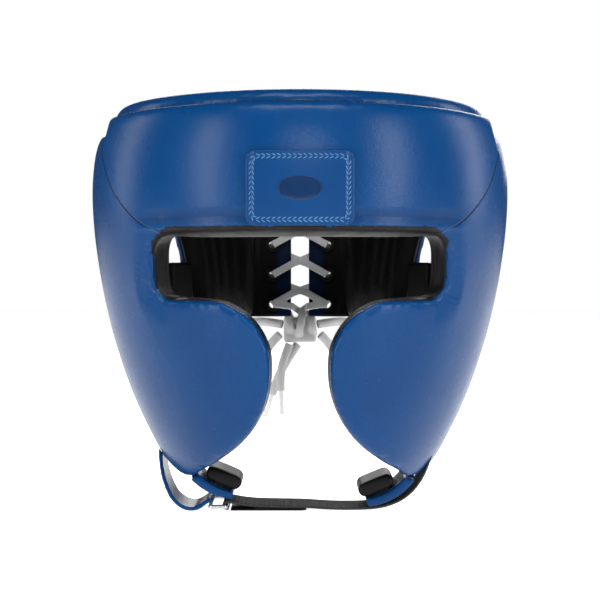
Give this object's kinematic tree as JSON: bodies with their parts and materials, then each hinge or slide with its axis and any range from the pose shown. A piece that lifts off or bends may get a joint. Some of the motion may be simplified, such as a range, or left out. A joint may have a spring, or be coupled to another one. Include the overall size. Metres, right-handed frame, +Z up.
{
  "type": "boxing headgear",
  "caption": "Open-face padded boxing headgear with a laced back and crown, side pads that cover the cheeks and a hook-and-loop chin strap.",
  "frame": {"origin": "on the floor under the middle of the wearer's head, where the headgear stands on its chin strap", "axes": "+Z up, -Y the way the face looks, +X the wearer's left"},
  "size_m": [0.2408, 0.2584, 0.2358],
  "materials": {
    "blue_leather": "satin",
    "dark_blue_leather": "satin",
    "black_leather": "satin",
    "black_lining": "matte",
    "foam": "matte",
    "lace": "matte",
    "aglet_plastic": "gloss",
    "eyelet_metal": "satin",
    "ring_metal": "polished",
    "elastic": "matte",
    "hook_tape": "matte"
  },
  "bodies": {
    "shell": {"forehead_cover": "blue_leather", "forehead_foam": "foam", "forehead_lining": "black_lining", "left_side_cover": "blue_leather", "left_side_foam": "foam", "left_side_lining": "black_lining", "right_side_cover": "blue_leather", "right_side_foam": "foam", "right_side_lining": "black_lining", "left_ear_band": "black_lining", "right_ear_band": "black_lining", "front_patch": "blue_leather", "rim_roll": "blue_leather", "rear_lace": "lace", "crown_lace": "lace", "lace_knot": "lace", "left_bow_loop": "lace", "right_bow_loop": "lace", "front_lace_tail": "lace", "rear_lace_tail": "lace", "front_aglet": "aglet_plastic", "rear_aglet": "aglet_plastic", "left_chin_tab": "blue_leather", "right_chin_tab": "blue_leather", "left_chin_pad": "black_leather", "right_chin_pad": "black_leather", "ring_strap": "blue_leather"},
    "left_rear": {"left_rear_cover": "blue_leather", "left_rear_foam": "foam", "left_rear_lining": "black_lining", "left_rear_roll": "blue_leather", "left_lace_margin": "dark_blue_leather", "left_rear_eyelets": "eyelet_metal"},
    "right_rear": {"right_rear_cover": "blue_leather", "right_rear_foam": "foam", "right_rear_lining": "black_lining", "right_rear_roll": "blue_leather", "right_lace_margin": "dark_blue_leather", "right_rear_eyelets": "eyelet_metal"},
    "left_crown": {"left_crown_flap": "blue_leather", "left_crown_lining": "black_lining", "left_crown_eyelets": "eyelet_metal"},
    "right_crown": {"right_crown_flap": "blue_leather", "right_crown_lining": "black_lining", "right_crown_eyelets": "eyelet_metal"},
    "chin_strap": {"chin_elastic": "elastic", "strap_ring": "ring_metal"},
    "closure": {"closure_tab": "black_leather", "hook_strip": "hook_tape"}
  },
  "joints": [
    {"name": "left_rear_spread", "type": "hinge", "parent": "shell", "child": "left_rear", "pos_m": [0.1, 0.0457, 0.16], "axis": [0, 0, -1], "range_deg": [0, 12], "deforming": ["rear_lace"]},
    {"name": "right_rear_spread", "type": "hinge", "parent": "shell", "child": "right_rear", "pos_m": [-0.1, 0.0457, 0.16], "axis": [0, 0, 1], "range_deg": [0, 12]},
    {"name": "left_crown_lift", "type": "hinge", "parent": "shell", "child": "left_crown", "pos_m": [0.0912, 0, 0.226], "axis": [0, 1, 0], "range_deg": [0, 15], "deforming": ["crown_lace"]},
    {"name": "right_crown_lift", "type": "hinge", "parent": "shell", "child": "right_crown", "pos_m": [-0.0912, 0, 0.226], "axis": [0, -1, 0], "range_deg": [0, 15]},
    {"name": "chin_strap_swing", "type": "hinge", "parent": "shell", "child": "chin_strap", "pos_m": [0.078, -0.022, 0.038], "axis": [0, -1, 0], "range_deg": [0, 60]},
    {"name": "closure_peel", "type": "hinge", "parent": "chin_strap", "child": "closure", "pos_m": [-0.0395, -0.022, 0.00045], "axis": [0, 1, 0], "range_deg": [0, 90]}
  ],
  "couplings": [
    {"joint": "right_rear_spread", "follows": "left_rear_spread", "ratio": 1},
    {"joint": "right_crown_lift", "follows": "left_crown_lift", "ratio": 1}
  ]
}
